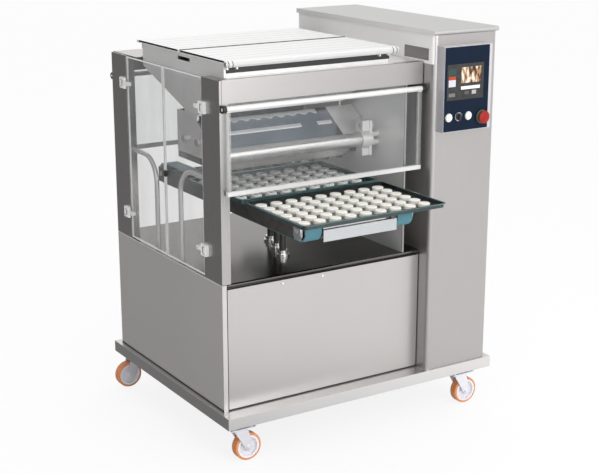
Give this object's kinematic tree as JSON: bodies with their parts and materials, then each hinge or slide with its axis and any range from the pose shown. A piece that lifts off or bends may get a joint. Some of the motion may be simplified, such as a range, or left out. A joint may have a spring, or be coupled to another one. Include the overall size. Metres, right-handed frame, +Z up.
{
  "type": "cookie depositor",
  "caption": "Free-standing cookie depositor: hopper and fluted roller head behind hinged clear guards, tray belts on a lift, control column, cabinet on swivel castors.",
  "frame": {"origin": "on the floor under the middle of the machine's box", "axes": "+Z up, -Y towards the operator's front where trays come out, +X towards the control column"},
  "size_m": [1.224, 1.256, 1.513],
  "materials": {
    "brushed_sheet": "brushed",
    "bright_steel": "fine ground",
    "mirror_steel": "polished",
    "light_sheet": "satin",
    "panel_glass": "gloss",
    "clear_sheet": "clear",
    "black_plastic": "satin",
    "white_plastic": "satin",
    "red_plastic": "gloss",
    "zinc_steel": "zinc plated",
    "tyre_polymer": "satin",
    "dark_rail": "satin",
    "belt_polymer": "satin",
    "tray_steel": "non-stick coating",
    "dough": "matte"
  },
  "bodies": {
    "cabinet": {"base_rail": "brushed_sheet", "left_lower_panel": "brushed_sheet", "front_lower_panel": "brushed_sheet", "rear_lower_panel": "brushed_sheet", "deck_plate": "brushed_sheet", "front_left_post": "brushed_sheet", "rear_left_post": "brushed_sheet", "front_top_cover": "brushed_sheet", "rear_top_cover": "brushed_sheet", "right_inner_wall": "brushed_sheet", "column_shell": "brushed_sheet", "column_cap": "brushed_sheet", "control_box": "brushed_sheet", "control_glass": "panel_glass", "button_collars": "black_plastic", "castor_plates": "zinc_steel", "guard_hinge_blocks": "black_plastic", "door_hinge_bases": "white_plastic", "guard_hoops": "bright_steel", "hopper": "brushed_sheet", "head_side_plates": "brushed_sheet", "head_covers": "mirror_steel", "nozzle_block": "bright_steel", "clamp_beam": "bright_steel", "lift_cylinders": "bright_steel"},
    "front_left_fork": {"castor_fork_fl": "zinc_steel"},
    "front_right_fork": {"castor_fork_fr": "zinc_steel"},
    "rear_left_fork": {"castor_fork_rl": "zinc_steel"},
    "rear_right_fork": {"castor_fork_rr": "zinc_steel"},
    "front_left_wheel": {"castor_wheel_fl": "tyre_polymer"},
    "front_right_wheel": {"castor_wheel_fr": "tyre_polymer"},
    "rear_left_wheel": {"castor_wheel_rl": "tyre_polymer"},
    "rear_right_wheel": {"castor_wheel_rr": "tyre_polymer"},
    "front_guard": {"front_guard": "clear_sheet", "front_guard_bar": "bright_steel"},
    "rear_guard": {"rear_guard": "clear_sheet", "rear_guard_bar": "bright_steel"},
    "front_door": {"front_door": "clear_sheet", "front_door_hinges": "white_plastic", "door_knob": "black_plastic"},
    "rear_door": {"rear_door": "clear_sheet", "rear_door_hinges": "white_plastic"},
    "front_lid": {"lid_front_leaf": "light_sheet"},
    "rear_lid": {"lid_rear_leaf": "light_sheet"},
    "front_roller": {"front_feed_roller": "bright_steel"},
    "rear_roller": {"rear_feed_roller": "bright_steel"},
    "left_clamp_knob": {"clamp_knob_left": "bright_steel"},
    "right_clamp_knob": {"clamp_knob_right": "bright_steel"},
    "lift_table": {"conveyor_frame": "dark_rail", "belts": "belt_polymer"},
    "front_pulleys": {"front_pulleys": "bright_steel"},
    "rear_pulleys": {"rear_pulleys": "bright_steel"},
    "front_tray": {"front_tray": "tray_steel", "front_dough": "dough"},
    "inner_tray": {"inner_tray": "tray_steel", "inner_dough": "dough"},
    "start_button": {"start_button": "white_plastic"},
    "stop_button": {"stop_button": "white_plastic"},
    "selector": {"selector_knob": "black_plastic"},
    "emergency_stop": {"emergency_stop": "red_plastic"}
  },
  "joints": [
    {"name": "front_left_swivel", "type": "hinge", "parent": "cabinet", "child": "front_left_fork", "pos_m": [-0.527, -0.293, 0.132], "axis": [0, 0, 1], "continuous": true},
    {"name": "front_left_roll", "type": "hinge", "parent": "front_left_fork", "child": "front_left_wheel", "pos_m": [-0.495, -0.293, 0.053], "axis": [0, 1, 0], "continuous": true},
    {"name": "front_right_swivel", "type": "hinge", "parent": "cabinet", "child": "front_right_fork", "pos_m": [0.484, -0.293, 0.132], "axis": [0, 0, 1], "continuous": true},
    {"name": "front_right_roll", "type": "hinge", "parent": "front_right_fork", "child": "front_right_wheel", "pos_m": [0.516, -0.293, 0.053], "axis": [0, 1, 0], "continuous": true},
    {"name": "rear_left_swivel", "type": "hinge", "parent": "cabinet", "child": "rear_left_fork", "pos_m": [-0.527, 0.581, 0.132], "axis": [0, 0, 1], "continuous": true},
    {"name": "rear_left_roll", "type": "hinge", "parent": "rear_left_fork", "child": "rear_left_wheel", "pos_m": [-0.559, 0.581, 0.053], "axis": [0, 1, 0], "continuous": true},
    {"name": "rear_right_swivel", "type": "hinge", "parent": "cabinet", "child": "rear_right_fork", "pos_m": [0.484, 0.581, 0.132], "axis": [0, 0, 1], "continuous": true},
    {"name": "rear_right_roll", "type": "hinge", "parent": "rear_right_fork", "child": "rear_right_wheel", "pos_m": [0.516, 0.581, 0.053], "axis": [0, 1, 0], "continuous": true},
    {"name": "front_guard_hinge", "type": "hinge", "parent": "cabinet", "child": "front_guard", "pos_m": [-0.16, -0.283, 1.297], "axis": [-1, 0, 0], "range_deg": [0, 100]},
    {"name": "rear_guard_hinge", "type": "hinge", "parent": "cabinet", "child": "rear_guard", "pos_m": [-0.16, 0.611, 1.297], "axis": [1, 0, 0], "range_deg": [0, 100]},
    {"name": "front_door_hinge", "type": "hinge", "parent": "cabinet", "child": "front_door", "pos_m": [-0.579, -0.14, 1.031], "axis": [0, 0, 1], "range_deg": [0, 100]},
    {"name": "rear_door_hinge", "type": "hinge", "parent": "cabinet", "child": "rear_door", "pos_m": [-0.579, 0.468, 1.031], "axis": [0, 0, -1], "range_deg": [0, 100]},
    {"name": "front_lid_hinge", "type": "hinge", "parent": "cabinet", "child": "front_lid", "pos_m": [-0.16, -0.249, 1.441], "axis": [1, 0, 0], "range_deg": [0, 98]},
    {"name": "rear_lid_hinge", "type": "hinge", "parent": "cabinet", "child": "rear_lid", "pos_m": [-0.16, 0.404, 1.441], "axis": [-1, 0, 0], "range_deg": [0, 105]},
    {"name": "front_roller_spin", "type": "hinge", "parent": "cabinet", "child": "front_roller", "pos_m": [-0.16, 0.065, 1.113], "axis": [1, 0, 0], "continuous": true},
    {"name": "rear_roller_spin", "type": "hinge", "parent": "cabinet", "child": "rear_roller", "pos_m": [-0.16, 0.169, 1.113], "axis": [1, 0, 0], "continuous": true},
    {"name": "left_clamp_turn", "type": "hinge", "parent": "cabinet", "child": "left_clamp_knob", "pos_m": [-0.483, -0.093, 1.142], "axis": [-1, 0, 0], "continuous": true},
    {"name": "right_clamp_turn", "type": "hinge", "parent": "cabinet", "child": "right_clamp_knob", "pos_m": [0.176, -0.093, 1.142], "axis": [1, 0, 0], "continuous": true},
    {"name": "lift_travel", "type": "slide", "parent": "cabinet", "child": "lift_table", "axis": [0, 0, 1], "range_m": [-0.06, 0.015]},
    {"name": "front_tray_travel", "type": "slide", "parent": "lift_table", "child": "front_tray", "axis": [0, 1, 0], "range_m": [-0.06, 0.25]},
    {"name": "inner_tray_travel", "type": "slide", "parent": "lift_table", "child": "inner_tray", "axis": [0, 1, 0], "range_m": [-0.06, 0.25]},
    {"name": "front_pulley_spin", "type": "hinge", "parent": "lift_table", "child": "front_pulleys", "pos_m": [-0.16, -0.4817, 0.8944], "axis": [1, 0, 0], "continuous": true},
    {"name": "rear_pulley_spin", "type": "hinge", "parent": "lift_table", "child": "rear_pulleys", "pos_m": [-0.16, 0.5467, 0.8944], "axis": [1, 0, 0], "continuous": true},
    {"name": "start_press", "type": "slide", "parent": "cabinet", "child": "start_button", "axis": [0, 1, 0], "range_m": [0, 0.004], "stiffness_N_per_m": 300},
    {"name": "stop_press", "type": "slide", "parent": "cabinet", "child": "stop_button", "axis": [0, 1, 0], "range_m": [0, 0.004], "stiffness_N_per_m": 300},
    {"name": "selector_turn", "type": "hinge", "parent": "cabinet", "child": "selector", "pos_m": [0.376, -0.382, 1.196], "axis": [0, -1, 0], "range_deg": [-45, 45]},
    {"name": "emergency_press", "type": "slide", "parent": "cabinet", "child": "emergency_stop", "axis": [0, 1, 0], "range_m": [0, 0.006], "stiffness_N_per_m": 300}
  ],
  "couplings": [
    {"joint": "rear_roller_spin", "follows": "front_roller_spin", "ratio": -1},
    {"joint": "inner_tray_travel", "follows": "front_tray_travel", "ratio": 1},
    {"joint": "front_pulley_spin", "follows": "front_tray_travel", "rad_per_m": -25.126},
    {"joint": "rear_pulley_spin", "follows": "front_tray_travel", "rad_per_m": -25.126}
  ]
}
